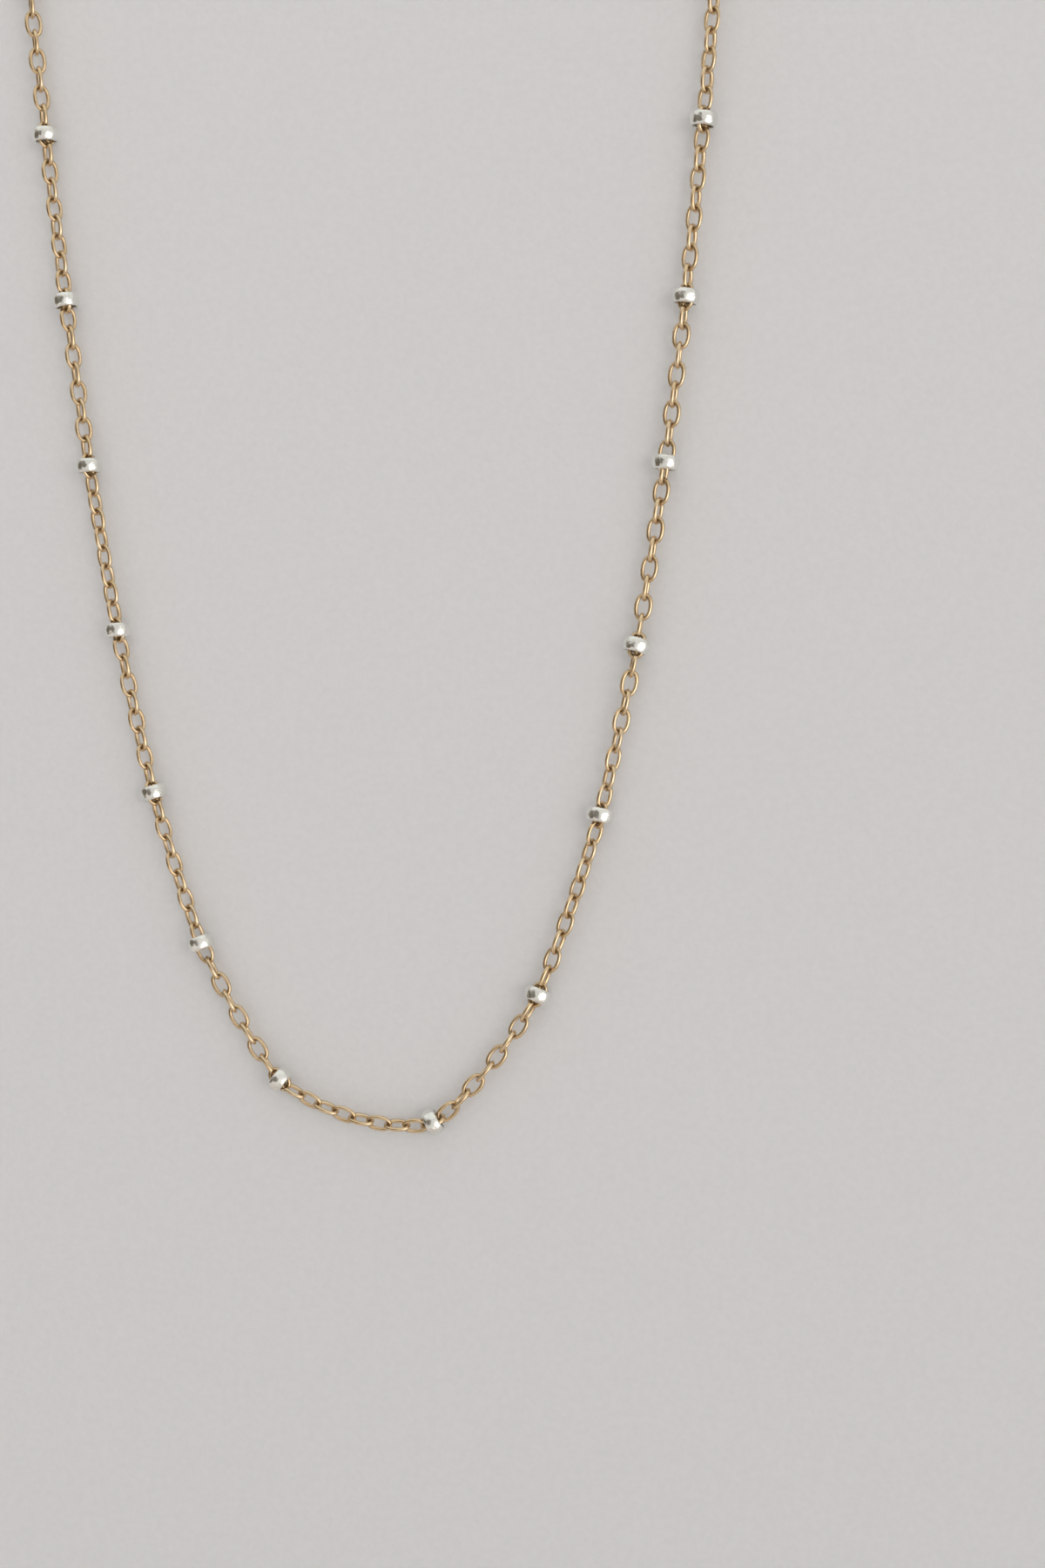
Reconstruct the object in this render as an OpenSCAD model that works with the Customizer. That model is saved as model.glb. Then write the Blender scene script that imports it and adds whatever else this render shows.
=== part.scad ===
// Station necklace: a gold cable chain that runs through round silver beads, hung up by the back
// of its loop. The loop lies in the XZ plane and is seen from -Y. The origin is where the loop
// rests at the top, on the inner side of the clasp. Links are counted from the first bead at
// upper left down the left side, through the lowest point and up the right side.

/* [Chain] */
// Outer length of a link
link_l = 3.11; // [2.8:0.01:3.4]
// Outer width of a link
link_w = 2; // [1.8:0.01:2.2]
// Thickness of the chain's wire
wire_d = 0.45; // [0.34:0.01:0.48]
// Clear gap between two linked wires
link_gap = 0.16; // [0.12:0.01:0.2]

/* [Beads] */
// Thickness of a bead's wall
bead_wall = 0.38; // [0.38:0.01:0.8]
// Height of a bead along the chain
bead_h = 1.52; // [1.2:0.02:2.2]
// Radius of the bead's rounded rims
bead_rim_r = 0.36; // [0.2:0.02:0.38]
// Radius of the bead's bulging outer wall
bead_bulge_r = 1.3; // [1.2:0.1:6]
// Clear gap between a link's sides and the bead's bore
bead_gap = 0.14; // [0.12:0.01:0.2]

/* [Hang] */
// Weight of a link as a share of the chain's pull at its lowest point
link_pull_ratio = 0.087; // [0.07:0.001:0.11]
// Weight of a bead as a share of the chain's pull at its lowest point
bead_pull_ratio = 0.72; // [0.5:0.01:0.9]
// Links from the first bead at upper left to the lowest point
low_links = 60.6; // [58:0.1:61.4]

/* [Back] */
// Links in the plain stretch up to the clasp on the left
left_links = 42; // [40:1:50]
// Links in the plain stretch up to the clasp on the right
right_links = 43; // [40:1:50]
// Links from bead to bead in the plain stretch
plain_links = 9; // [9:1:10]

/* [Clasp] */
// Outer diameter of the clasp's ring
ring_d = 5.5; // [4.5:0.1:7]
// Thickness of the clasp's ring
ring_wire_d = 0.9; // [0.6:0.05:1.2]
// Outer diameter of an eye of the clasp
eye_d = 2.1; // [1.9:0.05:2.6]
// Thickness of an eye's wire
eye_wire_d = 0.4; // [0.3:0.02:0.42]
// Length of the stub between ring and eye
stub_l = 0.3; // [0.2:0.05:0.6]

/* [Hidden] */
// Stretches from bead to bead: links to the next bead, the chain's turn about its own line at the
// start and at the end of the stretch, in degrees from lying flat, and how far the next bead
// tips away from the viewer and sways clockwise, in degrees
LINKS = 0;
START = 1;
END = 2;
TIP = 3;
SWAY = 4;
stations = [
  [9, -28, -36, 0, 5],
  [9, -48, -56, 0, 0],
  [9, -41, -42, 0, 7],
  [9, -67, -71, 0, 8],
  [9, -45, -46, 0, -2],
  [8.5, -48, -52, 0, 2],
  [8.5, -99, -101, 6, -7],
  [9, -70, -65, 8, -4],
  [9, -67, -104, 7, -5],
  [10, -102, -130, 6, -4],
  [9, -135, -166, 7, 5],
  [9.5, -180, -192, 0, -2],
  [8.5, -186, -185, 2, 0],
  [9, -197, -203, 0, 0],
  [9, -211, -210, 0, 0],
];
// Links in the shown part above the first bead and above the last one
spare_links = 8;
// Links beside a bead that hold the turn of the stretch's start or end
settle_links = 1.5;
// Links beside the clasp that carry no bead
free_links = 2;
// Sides of a round and of a thin wire
smooth = 48;
wire_sides = 24;

// Link: two straight sides between round ends, along the wire's middle
link_end_r = (link_w - wire_d) / 2;
link_end_x = (link_l - link_w) / 2;
pitch = link_l - 2 * wire_d - link_gap;
wire_step = wire_d + link_gap;

// Beads: places counted in links, in the shown part and in the plain stretches
shown_seats = [
  for (k = 0, s = -stations[0][LINKS]; k <= len(stations);
    s = s + (k < len(stations) ? stations[k][LINKS] : 0), k = k + 1) s
];
shown_last = shown_seats[len(stations) - 1];
first_link = -spare_links;
last_link = shown_last + spare_links;
start_link = first_link - left_links;
end_link = last_link + right_links;
lowest_link = floor(low_links);
left_seats = [
  for (s = shown_seats[0] - plain_links; s > start_link + free_links; s = s - plain_links) s
];
right_seats = [
  for (s = shown_seats[len(stations)] + plain_links; s < end_link - free_links; s = s + plain_links) s
];
seats = concat([for (k = [len(left_seats) - 1:-1:0]) left_seats[k]], shown_seats, right_seats);
bead_bore_d = link_w + 2 * bead_gap;
bead_d = bead_bore_d + 2 * bead_wall;

bead_leans = [
  for (k = [1:len(seats)]) let (row = k - 2 - len(left_seats))
    row < 0 || row >= len(stations) ? [0, 0] : [stations[row][TIP], stations[row][SWAY]]
];
function bead_name(k) = str("bead_", k < 10 ? "0" : "", k);

// Hanging chain: each link leans as far as the weight between it and the lowest point asks
function beads_before(i) =
  len([for (s = shown_seats) if (s < i) s]) + len([for (s = shown_seats) if (s == i) s]) / 2;
function lean(i) =
  atan(link_pull_ratio * (i - low_links)
    + bead_pull_ratio * (beads_before(i) - beads_before(low_links)));
function along(turn) = [cos(turn), sin(turn)];
function cross_2d(p, q) = p[0] * q[1] - p[1] * q[0];
shown_joints = [
  for (i = first_link, p = [0, 0]; i <= last_link + 1; p = p + pitch * along(lean(i)), i = i + 1) p
];

// Clasp: distance between the joints of its two end links, along the loop
eye_r = (eye_d - eye_wire_d) / 2;
eye_x = ring_d / 2 + stub_l + eye_d / 2;
clasp_span = 2 * (eye_x + eye_r - (wire_d + eye_wire_d) / 2 - link_gap + wire_step / 2);

// Back of the loop: both sides run on straight and meet in an arch that touches them
left_top = shown_joints[0];
right_top = shown_joints[len(shown_joints) - 1];
left_up = lean(first_link) + 180;
right_up = lean(last_link);
half_spread = (left_up - right_up) / 2;
back_l = (left_links + right_links) * pitch + clasp_span;
left_run = -cross_2d(right_top - left_top, along(right_up)) / cross_2d(along(left_up), along(right_up));
sides_meet = left_top - left_run * along(left_up);
right_run = norm(right_top - sides_meet);
arch_turn = 180 + 2 * half_spread;
side_run = (back_l + left_run + right_run) / (2 + tan(half_spread) * arch_turn * PI / 180);
arch_r = side_run * tan(half_spread);
arch_l = arch_r * arch_turn * PI / 180;
arch_mid = sides_meet + side_run / cos(half_spread) * along((left_up + right_up) / 2);
function back(d) =
  d < side_run - left_run ? left_top + d * along(left_up)
  : d < side_run - left_run + arch_l
    ? arch_mid + arch_r * along(left_up + 90 - (d - side_run + left_run) / arch_r * 180 / PI)
    : right_top + (back_l - d) * along(right_up);
joints = concat(
  [for (k = [left_links:-1:1]) back(k * pitch)],
  shown_joints,
  [for (k = [1:right_links]) back(back_l - k * pitch)]
);
clasp_at = (joints[0] + joints[len(joints) - 1]) / 2;
clasp_to = joints[len(joints) - 1] - joints[0];
origin_at = clasp_at - [0, ring_d / 2];

// Point of the chain at a place counted in links, whole at a link's middle
function chain_at(s) =
  let (j = s - start_link + 0.5, a = floor(j)) joints[a]
    + (j > a ? (j - a) * (joints[a + 1] - joints[a]) : [0, 0]);
function heading(s) = let (v = chain_at(s + 0.5) - chain_at(s - 0.5)) atan2(v[1], v[0]);

// Turn of the chain about its own line. Odd links stand square to even ones, and the end links
// stand square to the clasp's eyes
function is_odd(i) = i % 2 != 0;
function square_turn(i, near) =
  let (first = is_odd(i) ? 0 : 90) first + 180 * round((near - first) / 180);
turns = concat(
  [[start_link, square_turn(start_link, stations[0][START])]],
  [for (k = [0:len(stations) - 1]) each [
    [shown_seats[k] + settle_links, stations[k][START]],
    [shown_seats[k + 1] - settle_links, stations[k][END]]
  ]],
  [[end_link, square_turn(end_link, stations[len(stations) - 1][END])]]
);
function turn_at(i) = lookup(i, turns) + (is_odd(i) ? 90 : 0);

// Puts a child that lies along X at a place on the chain
module on_chain(s) {
  p = chain_at(s) - origin_at;
  translate([p[0], 0, p[1]]) rotate([0, -heading(s), 0]) children();
}

module link() {
  for (side = [0, 1]) {
    mirror([side, 0, 0])
      translate([link_end_x, 0, 0])
        rotate_extrude(start = -90, angle = 180, $fn = smooth)
          translate([link_end_r, 0]) circle(d = wire_d, $fn = wire_sides);
    mirror([0, side, 0])
      translate([-link_end_x, link_end_r, 0])
        rotate([0, 90, 0]) cylinder(d = wire_d, h = 2 * link_end_x, $fn = wire_sides);
  }
}

module chain(from, to) {
  for (i = [from:to])
    on_chain(i) rotate([turn_at(i) + 90, 0, 0]) link();
}

module chain_left() {
  color("#d9b277") chain(start_link, lowest_link);
}

module chain_right() {
  color("#d9b277") chain(lowest_link + 1, end_link);
}

module bead_section() {
  intersection() {
    union() {
      translate([bead_bore_d / 2, -bead_h / 2]) square([bead_wall - bead_rim_r, bead_h]);
      translate([bead_bore_d / 2, bead_rim_r - bead_h / 2])
        square([bead_wall, bead_h - 2 * bead_rim_r]);
      for (side = [-1, 1])
        translate([bead_d / 2 - bead_rim_r, side * (bead_h / 2 - bead_rim_r)])
          circle(r = bead_rim_r, $fn = smooth);
    }
    translate([bead_d / 2 - bead_bulge_r, 0]) circle(r = bead_bulge_r, $fn = 4 * smooth);
    translate([bead_bore_d / 2, -bead_h / 2]) square([bead_wall, bead_h]);
  }
}

module bead(k) {
  color("#dcdcd8") on_chain(seats[k - 1])
    rotate([0, bead_leans[k - 1][1], bead_leans[k - 1][0]])
      rotate([0, 90, 0]) rotate_extrude($fn = 2 * smooth) bead_section();
}

module clasp_ring(ring, wire) {
  rotate([90, 0, 0]) rotate_extrude($fn = 2 * smooth)
    translate([(ring - wire) / 2, 0]) circle(d = wire, $fn = smooth);
}

module clasp() {
  color("#d9b277") translate([clasp_at[0] - origin_at[0], 0, clasp_at[1] - origin_at[1]])
    rotate([0, -atan2(clasp_to[1], clasp_to[0]), 0]) {
      clasp_ring(ring_d, ring_wire_d);
      for (side = [-1, 1]) {
        translate([side * eye_x, 0, 0]) clasp_ring(eye_d, eye_wire_d);
        translate([side * (ring_d - ring_wire_d) / 2, 0, 0]) rotate([0, side * 90, 0])
          cylinder(d = eye_wire_d, h = ring_wire_d / 2 + stub_l + eye_wire_d / 2, $fn = smooth);
      }
    }
}

chain_left();
chain_right();
clasp();
for (k = [1:len(seats)])
  bead(k);
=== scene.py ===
"""Station necklace: smooth oval links, turned silver beads and clasp rings in place of the plain
solids, hung in front of a pale wall in soft light from the right.

Every piece takes its place from the solid that it stands for. Lengths are in metres.
"""

import math

import bpy
import numpy as np
from mathutils import Matrix


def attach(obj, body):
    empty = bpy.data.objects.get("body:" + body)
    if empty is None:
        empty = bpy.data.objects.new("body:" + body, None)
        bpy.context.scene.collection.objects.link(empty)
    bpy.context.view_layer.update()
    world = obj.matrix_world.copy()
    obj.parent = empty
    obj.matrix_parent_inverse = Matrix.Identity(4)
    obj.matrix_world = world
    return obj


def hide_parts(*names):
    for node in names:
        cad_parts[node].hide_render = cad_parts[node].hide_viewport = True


bl_info = {
    "name": "Station Necklace",
    "version": (1, 0, 0),
    "blender": (4, 5, 0),
    "location": "3D View > Sidebar > Necklace",
    "description": "Builds a fine oval-link chain with round silver beads",
    "category": "Add Mesh",
}

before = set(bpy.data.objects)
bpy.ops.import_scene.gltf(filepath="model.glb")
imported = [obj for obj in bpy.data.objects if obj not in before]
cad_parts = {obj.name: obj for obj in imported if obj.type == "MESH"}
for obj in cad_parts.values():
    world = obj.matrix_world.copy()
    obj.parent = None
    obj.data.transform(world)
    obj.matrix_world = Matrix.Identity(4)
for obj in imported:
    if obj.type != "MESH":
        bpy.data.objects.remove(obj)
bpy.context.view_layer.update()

MM = 0.001
CHAIN_NODES = ("chain_left", "chain_right")
BEAD_NODES = tuple(sorted(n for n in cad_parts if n.startswith("bead_")))

# Clear gap that the solids keep between two linked wires
LINK_GAP = 0.16 * MM
# Steps along a link's wire and round it, and the seed of its random lean and wobble
LINK_ROWS, LINK_SIDES, LINK_SEED = 18, 6, 7
# How far single links differ: their ends' bow, and the narrowing of an end and the swell of the
# wire as a share of each
LINK_BOW, LINK_UNEVEN = 0.03 * MM, 0.02
# Steps round a bead and round each of its section's two ovals, and the seed of its dents
BEAD_SIDES, OVAL_POINTS, BEAD_SEED = 64, 56, 11
# Points that an oval is first drawn with
OVAL_FINE = 1441
# How dark the painted shade deep in a bead's bore is, and how much rougher a metal is where its
# grime and painted shade are full
BORE_SHADE, GRIME_AND_SHADE_ROUGHNESS = 0.6, 0.45
# Clasp: outer diameter of an eye and thickness of its wire
EYE_D = 2.1 * MM
EYE_WIRE = 0.4 * MM
# Steps round the clasp's ring and round its wire, and the same for an eye
RING_STEPS, EYE_STEPS = (96, 24), (64, 16)

# Camera: its place, its turns to the right, down and about its own line of sight, and its long
# angle
CAMERA_AT = (0.06507, -0.24605, -0.14620)
CAMERA_TURN, CAMERA_DOWN, CAMERA_ROLL = math.radians(-11.35), math.radians(1.70), math.radians(0.77)
CAMERA_ANGLE = math.radians(37.0)
# Height of the floor, far below the necklace, and how far floor and wall reach
FLOOR_Z, STAGE_REACH = -0.32, 3.0


# Shapes


def solids(node):
    """The loose solids of a node, as one array of points each.

    Points at one place count as one. Each point starts with a label of its own, and every
    triangle hands the lowest label of its corners to all three, until nothing changes.
    """
    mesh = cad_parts[node].data
    co = np.empty(len(mesh.vertices) * 3)
    mesh.vertices.foreach_get("co", co)
    corners = np.empty(len(mesh.loops), dtype=int)
    mesh.loops.foreach_get("vertex_index", corners)
    points, which = np.unique(np.round(co.reshape(-1, 3), 8), axis=0, return_inverse=True)
    triangles = which.reshape(-1)[corners].reshape(-1, 3)
    label = np.arange(len(points))
    while True:
        low = label[triangles].min(axis=1)
        new = label.copy()
        np.minimum.at(new, triangles.ravel(), np.repeat(low, 3))
        new = new[new]
        if np.array_equal(new, label):
            break
        label = new
    return [points[label == k] for k in np.unique(label)]


def place_of(points):
    """Middle, axes and size of a solid, as (3,), (3, 3) with an axis in each row, and (3,).

    The axes are those of the spread of its points, longest first, and the middle is halfway
    between the two ends along each.
    """
    axes = np.linalg.svd(points - points.mean(axis=0), full_matrices=False)[2]
    if np.linalg.det(axes) < 0:
        axes[2] = -axes[2]
    along = points @ axes.T
    low, high = along.min(axis=0), along.max(axis=0)
    return (low + high) / 2 @ axes, axes, high - low


def bead_place(points):
    """Middle, axis, height, outer radius and bore radius of a bead from its points.

    Its axis is the one of its three directions of spread that is most unlike the other two.
    """
    middle = (points.max(axis=0) + points.min(axis=0)) / 2
    spread, axes = np.linalg.eigh(np.cov((points - middle).T))
    axis = axes[:, 0] if spread[1] - spread[0] > spread[2] - spread[1] else axes[:, 2]
    along = (points - middle) @ axis
    away = np.linalg.norm((points - middle) - along[:, None] * axis, axis=1)
    return middle, axis, np.ptp(along), away.max(), away.min()


def rounded_oval(a, b, power, count):
    """A closed oval |x / a|^p + |y / b|^p = 1 as (count, 2) points, closer where it bends more.

    It is first drawn at x = a |cos t|^(2/p) and y = b |sin t|^(2/p), each with its sign. The
    points stand at even steps of its length and its bending taken together.
    """
    t = np.linspace(0, 2 * np.pi, OVAL_FINE)
    c, s = np.cos(t), np.sin(t)
    fine = np.column_stack(
        [a * np.sign(c) * np.abs(c) ** (2 / power), b * np.sign(s) * np.abs(s) ** (2 / power)]
    )
    step = np.diff(fine, axis=0)
    angle = np.unwrap(np.arctan2(step[:, 1], step[:, 0]))
    bend = np.diff(angle, append=angle[0] + 2 * np.pi)
    length = np.linalg.norm(step, axis=1)
    run = np.concatenate([[0], np.cumsum(length / length.sum() + bend / bend.sum())])
    at = np.linspace(0, run[-1], count, endpoint=False)
    return np.column_stack([np.interp(at, run, fine[:, k]) for k in range(2)])


def link_grime_and_shade(line, sides):
    """How much grime darkens a link, with painted shade where it hooks into the next ones, as
    (rows, sides).

    It grows from halfway to the link's ends, where it hooks into the next ones, and is full at
    0.9 of the way. Round the wire it goes from none outside to all of it inside as (1 - cos) / 2.
    """
    start, full = 0.5, 0.9
    s = np.linspace(0, 2 * np.pi, sides, endpoint=False)
    to_end = np.abs(line[:, 0]) / np.abs(line[:, 0]).max()
    return np.clip((to_end[:, None] - start) / (full - start), 0, 1) * (1 - np.cos(s)) / 2


def bore_shade(section, crest_r, swell):
    """How much painted shade darkens each point of a bead's section, for the shade deep in its
    bore:
    none above a bit less than half of the bore's depth, and all of it from nine tenths down."""
    start, full = 0.45, 0.91
    depth = (crest_r - section[:, 0]) / swell
    return BORE_SHADE * np.clip((depth - start) / (full - start), 0, 1)


def link_tubes(places, line, wire, wobble, sides):
    """Points of all links, as (links, rows, sides, 3).

    The wire is a circle carried round the link's middle line, square to it. Row k of wobble
    holds, for each link, how far it leans about its length, how far its two ends bow apart, how
    much narrower one end is, how the wire's thickness swells once and twice round it, and where
    those swells start.
    """
    rows = len(line)
    ahead = np.roll(line, -1, axis=0) - np.roll(line, 1, axis=0)
    ahead /= np.linalg.norm(ahead, axis=1)[:, None]
    outward = np.column_stack([ahead[:, 1], -ahead[:, 0]])
    s = np.linspace(0, 2 * np.pi, sides, endpoint=False)
    t = np.linspace(0, 2 * np.pi, rows, endpoint=False)[:, None]
    turn, bow, egg, swell, swell_2, phase = (w[:, None, None] for w in wobble)
    thick = wire / 2 * (1 + swell * np.cos(t + phase) + swell_2 * np.cos(2 * t - phase))
    half = np.abs(line[:, 0]).max()
    x = line[:, None, 0] + thick * np.cos(s) * outward[:, None, 0]
    y = line[:, None, 1] + thick * np.cos(s) * outward[:, None, 1]
    z = thick * np.sin(s) + bow * (x / half) ** 2 * np.sign(x)
    y = y * (1 + egg * x / half)
    y, z = y * np.cos(turn) - z * np.sin(turn), y * np.sin(turn) + z * np.cos(turn)
    local = np.stack([x, y, z], axis=-1)
    axes = np.array([a for _, a, _ in places])
    middles = np.array([m for m, _, _ in places])
    return np.einsum("lrsk,lkc->lrsc", local, axes) + middles[:, None, None]


def bead_section(crest_r, outer_r, height, fullness, swell):
    """Closed section of a bead's wall as (n, 2) points of distance from its axis and height.

    Its two crests are crest_r away from the axis. Outside them it is half an oval that reaches
    outer_r, and towards the bore half of a squarer one, as deep as the bore's swell.
    """
    outer = rounded_oval(outer_r - crest_r, height / 2, fullness, OVAL_POINTS)
    inner = rounded_oval(swell, height / 2, fullness + 1.0, OVAL_POINTS)
    section = np.vstack([outer[outer[:, 0] > 0], inner[inner[:, 0] < 0]])
    turn = np.arctan2(section[:, 1] / height, section[:, 0] / (outer_r - crest_r))
    return section[np.argsort(turn)] + [crest_r, 0.0]


def turned(section, sides, middle, axis, dents):
    """Points of a section turned about an axis through middle, as (sides, section, 3).

    dents holds a share of the radius for each side and point of the section.
    """
    across = np.cross(axis, [0.0, 1.0, 0.0])
    across /= np.linalg.norm(across)
    other = np.cross(axis, across)
    a = np.linspace(0, 2 * np.pi, sides, endpoint=False)
    spoke = np.cos(a)[:, None] * across + np.sin(a)[:, None] * other
    radius = section[None, :, 0] * (1 + dents)
    return middle + radius[..., None] * spoke[:, None] + section[None, :, 1, None] * axis


def soft_dents(sides, section, depth, rng):
    """Shallow hollows in a bead's outside, as shares of the radius that are nowhere above 0.

    They are the sum of 2, 3 and 5 waves round it, each times a slower wave along its height and
    as low as it is short. They fade towards the bore, which keeps its place.
    """
    a = np.linspace(0, 2 * np.pi, sides, endpoint=False)[:, None]
    h = section[None, :, 1] / section[:, 1].max()
    waves = np.zeros((sides, len(section)))
    for turns in (2, 3, 5):
        first, second = rng.uniform(0, 2 * np.pi, 2)
        waves += np.cos(turns * a + first) * np.cos(1.3 * h + second) / turns
    near, far = section[:, 0].min(), section[:, 0].max()
    return depth * (waves - waves.max()) * ((section[:, 0] - near) / (far - near))


def ring_tube(middle, axes, radius, wire, rows, sides):
    """Points of a round ring: a circle of wire carried round a circle, as (rows, sides, 3)."""
    t = np.linspace(0, 2 * np.pi, rows, endpoint=False)[:, None]
    s = np.linspace(0, 2 * np.pi, sides, endpoint=False)
    reach = radius + wire / 2 * np.cos(s)
    x, y = reach * np.cos(t), reach * np.sin(t)
    z = np.broadcast_to(wire / 2 * np.sin(s), x.shape)
    return middle + np.stack([x, y, z], axis=-1) @ axes


def bar_tube(middle, axes, near, far, wire, sides):
    """Points of the short bar between ring and eye, as (rows, sides, 3).

    It is half as thick again at both ends, and its first and last rows are single points inside
    the rings.
    """
    t = np.linspace(0, 1, 9)
    radius = np.concatenate([[0.0], wire / 2 * (1 + 0.5 * (2 * t - 1) ** 4), [0.0]])
    x = near + (far - near) * np.concatenate([[0.0], t, [1.0]])
    s = np.linspace(0, 2 * np.pi, sides, endpoint=False)
    y, z = radius[:, None] * np.cos(s), radius[:, None] * np.sin(s)
    local = np.stack([np.broadcast_to(x[:, None], y.shape), y, z], axis=-1)
    return middle + local @ axes


def put_mesh(name, grids, grime_and_shade, material, node):
    """A smooth mesh of (rows, sides, 3) grids that close both ways, in place of a node.

    Each grid point makes one quad with its next neighbours. A grid whose quads enclose a
    negative volume is turned inside out. grime has a value from 0 to 1 for every point: how much
    grime and painted shade darken it.
    """
    points, faces, start = [], [], 0
    for grid in grids:
        rows, sides = grid.shape[:2]
        r, s = np.divmod(np.arange(rows * sides), sides)
        r2, s2 = (r + 1) % rows, (s + 1) % sides
        quads = np.column_stack([r * sides + s, r2 * sides + s, r2 * sides + s2, r * sides + s2])
        co = grid.reshape(-1, 3)
        a, b, c, d = (co[quads[:, k]] for k in range(4))
        if np.einsum("ij,ij->", a - co.mean(axis=0), np.cross(c - a, d - b)) < 0:
            quads = quads[:, ::-1]
        points.append(co)
        faces.append(quads + start)
        start += len(co)
    points, faces = np.vstack(points), np.vstack(faces)
    mesh = bpy.data.meshes.new(name)
    mesh.vertices.add(len(points))
    mesh.vertices.foreach_set("co", points.astype(np.float32).ravel())
    mesh.loops.add(faces.size)
    mesh.loops.foreach_set("vertex_index", faces.astype(np.int32).ravel())
    mesh.polygons.add(len(faces))
    mesh.polygons.foreach_set("loop_start", np.arange(0, faces.size, 4, dtype=np.int32))
    mesh.polygons.foreach_set("use_smooth", np.ones(len(faces), dtype=bool))
    mesh.update(calc_edges=True)
    mesh.attributes.new("grime_and_shade", "FLOAT", "POINT").data.foreach_set("value", grime_and_shade.ravel())
    mesh.materials.append(material)
    piece = bpy.data.objects.new(name, mesh)
    bpy.context.scene.collection.objects.link(piece)
    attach(piece, "root")
    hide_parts(node)
    return piece


# Finishes


def blank_material(name):
    """A new material with its node tree, its shader and Object coordinates."""
    material = bpy.data.materials.new(name)
    material.use_nodes = True
    tree = material.node_tree
    coords = tree.nodes.new("ShaderNodeTexCoord")
    return material, tree, tree.nodes["Principled BSDF"], coords.outputs["Object"]


def noise(tree, coords, scale, detail, roughness=0.5):
    """Even noise from 0 to 1 at scale waves a metre."""
    node = tree.nodes.new("ShaderNodeTexNoise")
    node.inputs["Scale"].default_value = scale
    node.inputs["Detail"].default_value = detail
    node.inputs["Roughness"].default_value = roughness
    tree.links.new(coords, node.inputs["Vector"])
    return node.outputs["Fac"]


def ramp(tree, value, stops):
    """A colour band over a value, from (place, colour) pairs."""
    node = tree.nodes.new("ShaderNodeValToRGB")
    band = node.color_ramp
    while len(band.elements) < len(stops):
        band.elements.new(0.5)
    for element, (at, colour) in zip(band.elements, stops):
        element.position = at
        element.color = (*colour, 1.0)
    tree.links.new(value, node.inputs["Fac"])
    return node.outputs["Color"]


def span(tree, value, low, high):
    """A value from 0 to 1 carried to the span from low to high."""
    node = tree.nodes.new("ShaderNodeMapRange")
    node.inputs["To Min"].default_value = low
    node.inputs["To Max"].default_value = high
    tree.links.new(value, node.inputs["Value"])
    return node.outputs["Result"]


def bump(tree, shader, value, height):
    """Fine relief of a height in metres."""
    node = tree.nodes.new("ShaderNodeBump")
    node.inputs["Distance"].default_value = height
    tree.links.new(value, node.inputs["Height"])
    tree.links.new(node.outputs["Normal"], shader.inputs["Normal"])


def blend(tree, factor, base, colour):
    """A base colour that turns into another, plain or linked, as the factor goes from 0 to 1."""
    mix = tree.nodes.new("ShaderNodeMix")
    mix.data_type = "RGBA"
    # The node has sockets of one name for each kind of data, so colours are taken by number
    first, second, result = mix.inputs[6], mix.inputs[7], mix.outputs[2]
    tree.links.new(factor, mix.inputs["Factor"])
    tree.links.new(base, first)
    if isinstance(colour, tuple):
        second.default_value = (*colour, 1.0)
    else:
        tree.links.new(colour, second)
    return result


def metal(name, colour, deep, dark, rough, rough_spread, wave, relief):
    """Polished metal, made once.

    Its base colour drifts between two tones, in waves 2.5 times as long as its relief's, and
    turns dark with grime and painted shade. Its gloss has soft wear, in waves 0.4 times as long,
    and is duller where grime and painted shade sit. wave is how many waves of relief there are to
    a metre.
    """
    if name in bpy.data.materials:
        return bpy.data.materials[name]
    material, tree, shader, coords = blank_material(name)
    shader.inputs["Metallic"].default_value = 1.0
    tone = ramp(tree, noise(tree, coords, wave * 0.4, 3.0), [(0.3, deep), (0.7, colour)])
    # Grime and painted shade, from the mesh, turn the base colour towards dark
    grime_and_shade = tree.nodes.new("ShaderNodeAttribute")
    grime_and_shade.attribute_name = "grime_and_shade"
    soiled_and_shaded = blend(tree, grime_and_shade.outputs["Fac"], tone, dark)
    tree.links.new(soiled_and_shaded, shader.inputs["Base Color"])
    wear = noise(tree, coords, wave * 2.5, 4.0, 0.6)
    gloss = tree.nodes.new("ShaderNodeMath")
    gloss.operation = "MULTIPLY_ADD"
    tree.links.new(grime_and_shade.outputs["Fac"], gloss.inputs[0])
    gloss.inputs[1].default_value = GRIME_AND_SHADE_ROUGHNESS
    tree.links.new(span(tree, wear, rough - rough_spread, rough + rough_spread), gloss.inputs[2])
    tree.links.new(gloss.outputs["Value"], shader.inputs["Roughness"])
    bump(tree, shader, noise(tree, coords, wave, 2.0), relief)
    return material


def gold(finish):
    """Drawn gold wire."""
    deep = tuple(c * s for c, s in zip(finish.gold, (0.93, 0.86, 0.74)))
    return metal(
        "Gold", finish.gold, deep,
        # dark is the colour of grime and of painted shade where the links hook into one another
        dark=(0.40, 0.27, 0.13), rough=0.10, rough_spread=0.04, wave=1500.0, relief=0.010 * MM,
    )


def silver(finish):
    """Polished silver with fine scuffs."""
    deep = tuple(0.86 * c for c in finish.silver)
    return metal(
        "Silver", finish.silver, deep,
        # dark is the colour of the painted shade deep in the beads' bores
        dark=(0.24, 0.19, 0.14), rough=0.11, rough_spread=0.05, wave=1300.0, relief=0.10 * MM,
    )


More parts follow.
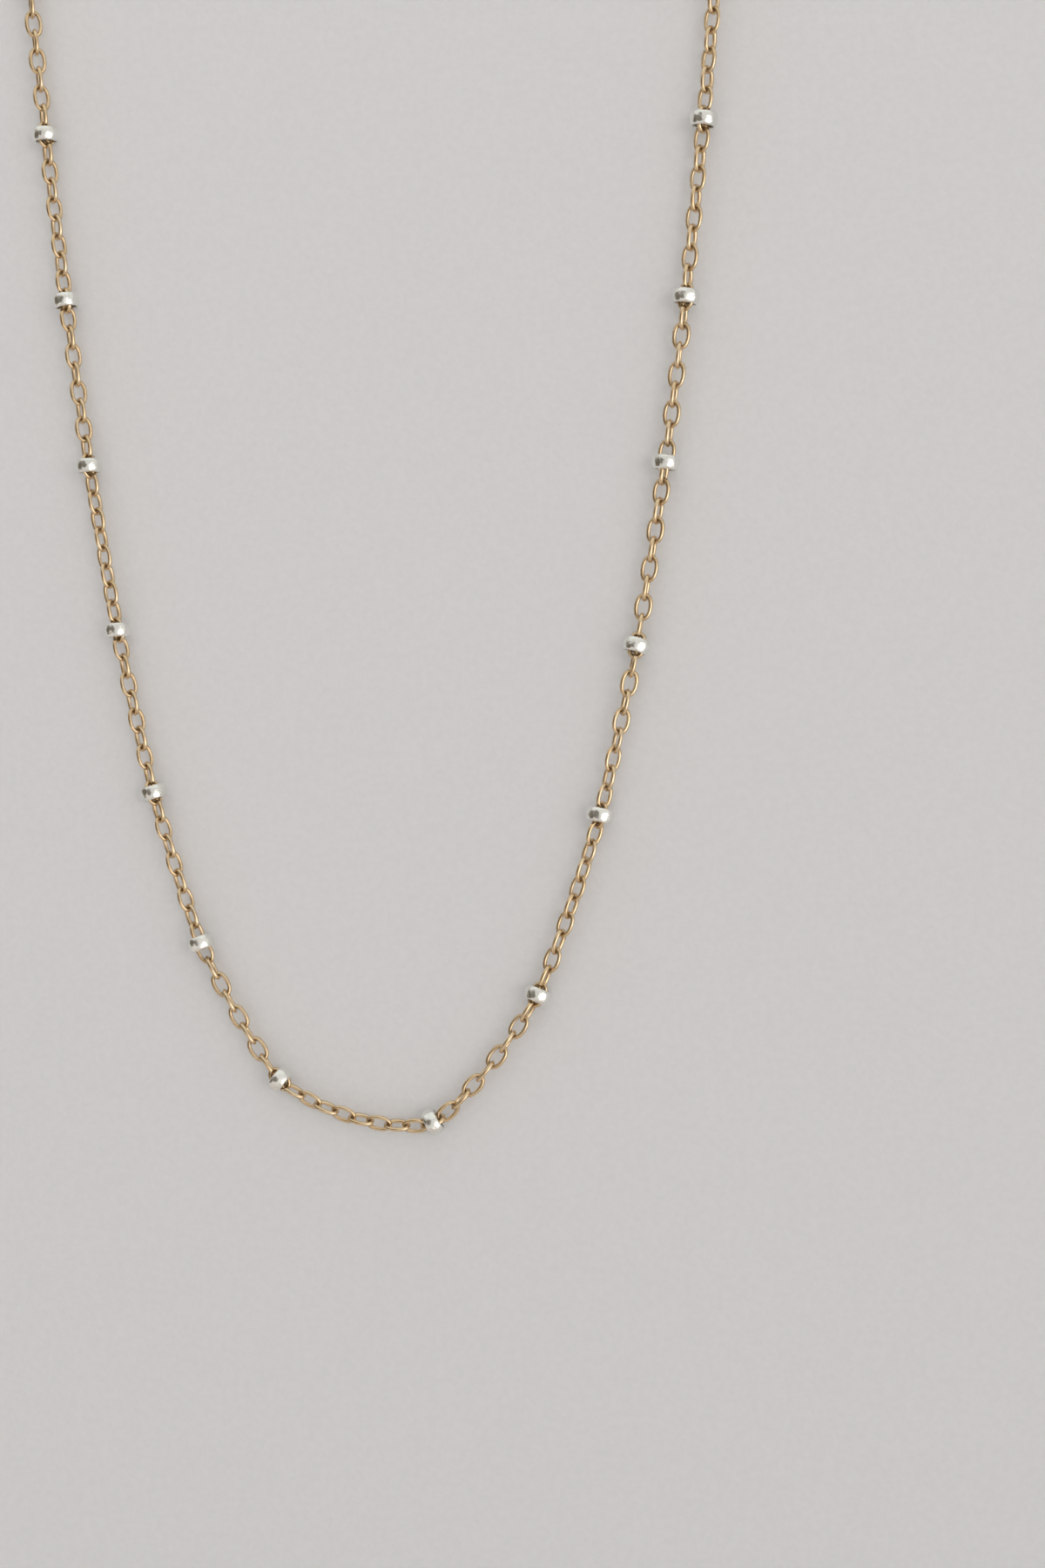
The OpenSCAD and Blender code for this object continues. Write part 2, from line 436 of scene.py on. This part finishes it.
def wall_paint(finish):
    """Matt paint with a fine grain, seen from its front only: the back lets light and sight
    through, so that the necklace also shows from behind the wall."""
    material, tree, shader, coords = blank_material("Wall paint")
    shader.inputs["Roughness"].default_value = 0.9
    shader.inputs["Specular IOR Level"].default_value = 0.2
    grain = noise(tree, coords, scale=1400.0, detail=4.0, roughness=0.65)
    tones = [(0.35, tuple(0.97 * c for c in finish.wall)), (0.65, tuple(finish.wall))]
    tree.links.new(ramp(tree, grain, tones), shader.inputs["Base Color"])
    bump(tree, shader, grain, 0.03 * MM)
    clear = tree.nodes.new("ShaderNodeBsdfTransparent")
    side = tree.nodes.new("ShaderNodeNewGeometry")
    mix = tree.nodes.new("ShaderNodeMixShader")
    tree.links.new(side.outputs["Backfacing"], mix.inputs["Fac"])
    tree.links.new(shader.outputs["BSDF"], mix.inputs[1])
    tree.links.new(clear.outputs["BSDF"], mix.inputs[2])
    tree.links.new(mix.outputs["Shader"], tree.nodes["Material Output"].inputs["Surface"])
    return material


# Stage


def card(name, corners, material):
    """A flat card through four corners, as part of the stage."""
    mesh = bpy.data.meshes.new(name)
    mesh.from_pydata(corners, [], [(0, 1, 2, 3)])
    mesh.update()
    mesh.materials.append(material)
    piece = bpy.data.objects.new(name, mesh)
    bpy.context.scene.collection.objects.link(piece)
    return piece


# What stands round the necklace, in the order in which it covers what comes before: azimuth from
# the viewer's side towards +X and height above the level, both to its middle, then the angle
# within which all of it shows, the one beyond which none does, and its colour. The metal mirrors
# the first room, and the second, plainer one lights the wall
MIRRORED_AIR = (0.74, 0.725, 0.69)
MIRRORED = {
    "ceiling": (0, 90, 25, 62, (0.86, 0.89, 0.84)),
    "floor": (0, -90, 35, 70, (0.62, 0.56, 0.50)),
    "left side": (-120, 0, 20, 58, (0.36, 0.32, 0.28)),
    "window": (50, -14, 8, 38, (1.8, 1.76, 1.7)),
    "lamp": (47, -18, 3, 10, (3.2, 3.1, 3.0)),
    "far dim patch": (-64, 1, 8, 34, (0.15, 0.13, 0.10)),
    "near dim patch": (-26, 5, 5, 32, (0.20, 0.18, 0.15)),
    "warm patch": (-38, -13, 2, 9, (0.80, 0.66, 0.58)),
}
SOFT_AIR = (0.64, 0.635, 0.63)
SOFT = {
    "floor": (0, -90, 25, 70, (0.42, 0.40, 0.38)),
    "left side": (-80, 0, 25, 62, (0.42, 0.41, 0.40)),
    "window": (38, -12, 8, 26, (6.2, 6.05, 5.95)),
}
ROOM_SEEN = (0.8, 0.8, 0.79)


def direction(azimuth, height):
    """A unit vector from two angles in degrees: azimuth 0 is -Y and 90 is +X."""
    a, h = math.radians(azimuth), math.radians(height)
    return (math.sin(a) * math.cos(h), -math.cos(a) * math.cos(h), math.sin(h))


def room(tree, ray, air, things):
    """The colour that comes from each direction of a room."""
    base = tree.nodes.new("ShaderNodeRGB")
    base.outputs["Color"].default_value = (*air, 1.0)
    colour = base.outputs["Color"]
    for azimuth, height, near, far, tone in things.values():
        towards = tree.nodes.new("ShaderNodeVectorMath")
        towards.operation = "DOT_PRODUCT"
        towards.inputs[1].default_value = direction(azimuth, height)
        tree.links.new(ray, towards.inputs[0])
        edge = tree.nodes.new("ShaderNodeMapRange")
        edge.interpolation_type = "SMOOTHSTEP"
        edge.inputs["From Min"].default_value = math.cos(math.radians(far))
        edge.inputs["From Max"].default_value = math.cos(math.radians(near))
        tree.links.new(towards.outputs["Value"], edge.inputs["Value"])
        colour = blend(tree, edge.outputs["Result"], colour, tone)
    return colour


def room_light(scene, strength):
    """Soft light from all round, with a window on the right: what is matt is lit by the soft
    room, the metal mirrors the other, and neither is seen by itself."""
    world = bpy.data.worlds.new("Room")
    scene.world = world
    world.use_nodes = True
    tree = world.node_tree
    ray = tree.nodes.new("ShaderNodeTexCoord").outputs["Generated"]
    path = tree.nodes.new("ShaderNodeLightPath")
    mirrored = room(tree, ray, MIRRORED_AIR, MIRRORED)
    soft = room(tree, ray, SOFT_AIR, SOFT)
    light = blend(tree, path.outputs["Is Diffuse Ray"], mirrored, soft)
    bright = tree.nodes.new("ShaderNodeVectorMath")
    bright.operation = "SCALE"
    bright.inputs["Scale"].default_value = strength
    tree.links.new(light, bright.inputs[0])
    seen = blend(tree, path.outputs["Is Camera Ray"], bright.outputs["Vector"], ROOM_SEEN)
    tree.links.new(seen, tree.nodes["Background"].inputs["Color"])


def camera(scene):
    """The camera low in front and right of the necklace, at the photograph's angle."""
    turn, down, roll = CAMERA_TURN, CAMERA_DOWN, CAMERA_ROLL
    level = np.array([math.sin(turn), math.cos(turn), 0.0])
    side = np.array([math.cos(turn), -math.sin(turn), 0.0])
    upright = np.array([0.0, 0.0, 1.0])
    ahead = level * math.cos(down) - upright * math.sin(down)
    up = level * math.sin(down) + upright * math.cos(down)
    right = side * math.cos(roll) - up * math.sin(roll)
    top = side * math.sin(roll) + up * math.cos(roll)
    data = bpy.data.cameras.new("camera")
    data.sensor_width = 36.0
    data.lens = data.sensor_width / 2 / math.tan(CAMERA_ANGLE / 2)
    data.clip_start, data.clip_end = 0.01, 20.0
    eye = bpy.data.objects.new("camera", data)
    scene.collection.objects.link(eye)
    turned_to = Matrix([list(row) for row in np.column_stack([right, top, -ahead])])
    eye.matrix_world = Matrix.Translation(CAMERA_AT) @ turned_to.to_4x4()
    scene.camera = eye


# Values a user would change


class NecklaceChain(bpy.types.PropertyGroup):
    """Sizes of the chain's links."""

    stoutness: bpy.props.FloatProperty(
        name="Stoutness",
        description="How much thicker the wire is than the solid's",
        default=0.02 * MM,
        min=0.0,
        max=0.03 * MM,
        unit="LENGTH",
        precision=6,
    )
    slack: bpy.props.FloatProperty(
        name="Slack",
        description="Clear gap between the ends of two linked wires where the chain is straight",
        default=0.04 * MM,
        min=0.0,
        max=0.1 * MM,
        unit="LENGTH",
        precision=6,
    )
    oval: bpy.props.FloatProperty(
        name="Oval",
        description="2 is an ellipse, and more is squarer at its corners",
        default=2.3,
        min=2.0,
        max=4.0,
    )
    lean: bpy.props.FloatProperty(
        name="Lean",
        description="How far single links lean from their row",
        default=math.radians(3),
        min=0.0,
        max=math.radians(10),
        subtype="ANGLE",
    )


class NecklaceBeads(bpy.types.PropertyGroup):
    """Sizes of the beads."""

    fullness: bpy.props.FloatProperty(
        name="Fullness",
        description="Section of the outside: 2 is an ellipse, and more is squarer at its corners",
        default=2.1,
        min=2.0,
        max=4.0,
    )
    inset: bpy.props.FloatProperty(
        name="Inset",
        description="How much smaller the outer radius is than the solid's, so that the fuller "
        "section stays inside its box",
        default=0.042 * MM,
        min=0.0,
        max=0.1 * MM,
        unit="LENGTH",
        precision=6,
    )
    crest: bpy.props.FloatProperty(
        name="Crest",
        description="From the solid's bore to the highest points of the bead's rims",
        default=0.05 * MM,
        min=0.02 * MM,
        max=0.2 * MM,
        unit="LENGTH",
        precision=6,
    )
    swell: bpy.props.FloatProperty(
        name="Bore swell",
        description="How much narrower the bore is at half height than at its rims",
        default=0.14 * MM,
        min=0.02 * MM,
        max=0.2 * MM,
        unit="LENGTH",
        precision=6,
    )
    dents: bpy.props.FloatProperty(
        name="Dents",
        description="Depth of the shallow hollows, as a share of the radius",
        default=0.007,
        min=0.0,
        max=0.02,
    )


class NecklaceFinish(bpy.types.PropertyGroup):
    """Colours."""

    gold: bpy.props.FloatVectorProperty(
        name="Gold",
        description="Colour of the chain and the clasp",
        default=(0.82, 0.65, 0.445),
        min=0.0,
        max=1.0,
        size=3,
        subtype="COLOR",
    )
    silver: bpy.props.FloatVectorProperty(
        name="Silver",
        description="Colour of the beads",
        default=(0.93, 0.92, 0.88),
        min=0.0,
        max=1.0,
        size=3,
        subtype="COLOR",
    )
    wall: bpy.props.FloatVectorProperty(
        name="Wall",
        description="Colour of the wall behind the necklace",
        default=(0.89, 0.88, 0.88),
        min=0.0,
        max=1.0,
        size=3,
        subtype="COLOR",
    )


class NecklaceStage(bpy.types.PropertyGroup):
    """Wall and light."""

    wall_gap: bpy.props.FloatProperty(
        name="Wall distance",
        description="From the middle of the chain to the wall",
        default=1.6 * MM,
        min=1.55 * MM,
        max=20 * MM,
        unit="LENGTH",
        precision=5,
    )
    room: bpy.props.FloatProperty(
        name="Room light",
        description="Strength of the light from all round",
        default=1.0,
        min=0.0,
    )


# What each button does


class NECKLACE_OT_chain(bpy.types.Operator):
    """Makes both halves of the chain from oval links, each where its solid is"""

    bl_idname = "necklace.chain"
    bl_label = "Chain"

    def execute(self, context):
        chain = context.scene.necklace_chain
        material = gold(context.scene.necklace_finish)
        rng = np.random.default_rng(LINK_SEED)
        spreads = (chain.lean, LINK_BOW, LINK_UNEVEN, LINK_UNEVEN, LINK_UNEVEN)
        for node in CHAIN_NODES:
            places = [place_of(points) for points in solids(node)]
            length, width, wire = np.median([size for _, _, size in places], axis=0)
            length += 2 * chain.stoutness + chain.slack - LINK_GAP
            wire += chain.stoutness
            line = rounded_oval((length - wire) / 2, (width - wire) / 2, chain.oval, LINK_ROWS)
            count = len(places)
            wobble = [rng.normal(0, spread, count) for spread in spreads]
            wobble.append(rng.uniform(0, 2 * np.pi, count))
            links = link_tubes(places, line, wire, wobble, LINK_SIDES)
            # Grime and painted shade on the inner side of each link's ends, where it hooks into the
            # next
            grime_and_shade = np.tile(link_grime_and_shade(line, LINK_SIDES), (count, 1, 1))
            put_mesh(node + "_links", links, grime_and_shade, material, node)
        return {"FINISHED"}


class NECKLACE_OT_beads(bpy.types.Operator):
    """Makes each round silver bead, turned about the chain where its solid is"""

    bl_idname = "necklace.beads"
    bl_label = "Beads"

    def execute(self, context):
        beads = context.scene.necklace_beads
        material = silver(context.scene.necklace_finish)
        rng = np.random.default_rng(BEAD_SEED)
        for node in BEAD_NODES:
            (points,) = solids(node)
            middle, axis, height, outer_r, bore_r = bead_place(points)
            crest_r, outer_r = bore_r + beads.crest, outer_r - beads.inset
            section = bead_section(crest_r, outer_r, height, beads.fullness, beads.swell)
            dents = soft_dents(BEAD_SIDES, section, beads.dents, rng)
            grid = turned(section, BEAD_SIDES, middle, axis, dents)
            # Painted shade deep in each bead's bore
            grime_and_shade = np.tile(bore_shade(section, crest_r, beads.swell), (BEAD_SIDES, 1))
            put_mesh(node + "_ring", [grid], grime_and_shade, material, node)
        return {"FINISHED"}


class NECKLACE_OT_clasp(bpy.types.Operator):
    """Makes the plain ring clasp with its two eyes"""

    bl_idname = "necklace.clasp"
    bl_label = "Clasp"

    def execute(self, context):
        (points,) = solids("clasp")
        middle, axes, (length, ring_d, ring_wire) = place_of(points)
        eye_x = (length - EYE_D) / 2
        ring_r = (ring_d - ring_wire) / 2
        bar_end = eye_x - (EYE_D - EYE_WIRE) / 2
        grids = [ring_tube(middle, axes, ring_r, ring_wire, *RING_STEPS)]
        for side in (-1, 1):
            at = middle + side * eye_x * axes[0]
            grids.append(ring_tube(at, axes, (EYE_D - EYE_WIRE) / 2, EYE_WIRE, *EYE_STEPS))
            bar = bar_tube(middle, axes, side * ring_r, side * bar_end, EYE_WIRE, EYE_STEPS[1])
            grids.append(bar)
        # The clasp has no grime or painted shade
        no_grime_or_shade = np.zeros(sum(grid.size for grid in grids) // 3)
        put_mesh("clasp_rings", grids, no_grime_or_shade, gold(context.scene.necklace_finish), "clasp")
        return {"FINISHED"}


class NECKLACE_OT_stage(bpy.types.Operator):
    """Sets up the pale wall and floor, the soft light and the camera"""

    bl_idname = "necklace.stage"
    bl_label = "Stage"

    def execute(self, context):
        stage = context.scene.necklace_stage
        paint = wall_paint(context.scene.necklace_finish)
        far, low, back = STAGE_REACH, FLOOR_Z, stage.wall_gap
        upright = [(-far, back, low), (far, back, low), (far, back, far), (-far, back, far)]
        level = [(-far, -far, low), (far, -far, low), (far, far, low), (-far, far, low)]
        card("wall", upright, paint)
        floor = card("floor", level, paint)
        floor.visible_glossy = False
        room_light(context.scene, stage.room)
        camera(context.scene)
        context.scene.view_settings.view_transform = "Standard"
        return {"FINISHED"}


GROUPS = (
    ("necklace_chain", NecklaceChain),
    ("necklace_beads", NecklaceBeads),
    ("necklace_finish", NecklaceFinish),
    ("necklace_stage", NecklaceStage),
)
BUTTONS = (NECKLACE_OT_chain, NECKLACE_OT_beads, NECKLACE_OT_clasp, NECKLACE_OT_stage)


class VIEW3D_PT_necklace(bpy.types.Panel):
    """Lists the necklace's values and the buttons that build it"""

    bl_idname = "VIEW3D_PT_necklace"
    bl_label = "Station Necklace"
    bl_space_type = "VIEW_3D"
    bl_region_type = "UI"
    bl_category = "Necklace"

    def draw(self, context):
        for group, kind in GROUPS:
            box = self.layout.box()
            for prop in kind.__annotations__:
                box.prop(getattr(context.scene, group), prop)
        for button in BUTTONS:
            self.layout.operator(button.bl_idname)


def register():
    for group, kind in GROUPS:
        bpy.utils.register_class(kind)
        setattr(bpy.types.Scene, group, bpy.props.PointerProperty(type=kind))
    for kind in (*BUTTONS, VIEW3D_PT_necklace):
        bpy.utils.register_class(kind)


def unregister():
    for kind in (VIEW3D_PT_necklace, *reversed(BUTTONS)):
        bpy.utils.unregister_class(kind)
    for group, kind in reversed(GROUPS):
        delattr(bpy.types.Scene, group)
        bpy.utils.unregister_class(kind)


def main():
    register()
    bpy.ops.necklace.chain()
    bpy.ops.necklace.beads()
    bpy.ops.necklace.clasp()
    bpy.ops.necklace.stage()
    bpy.context.view_layer.update()


if __name__ == "__main__":
    main()
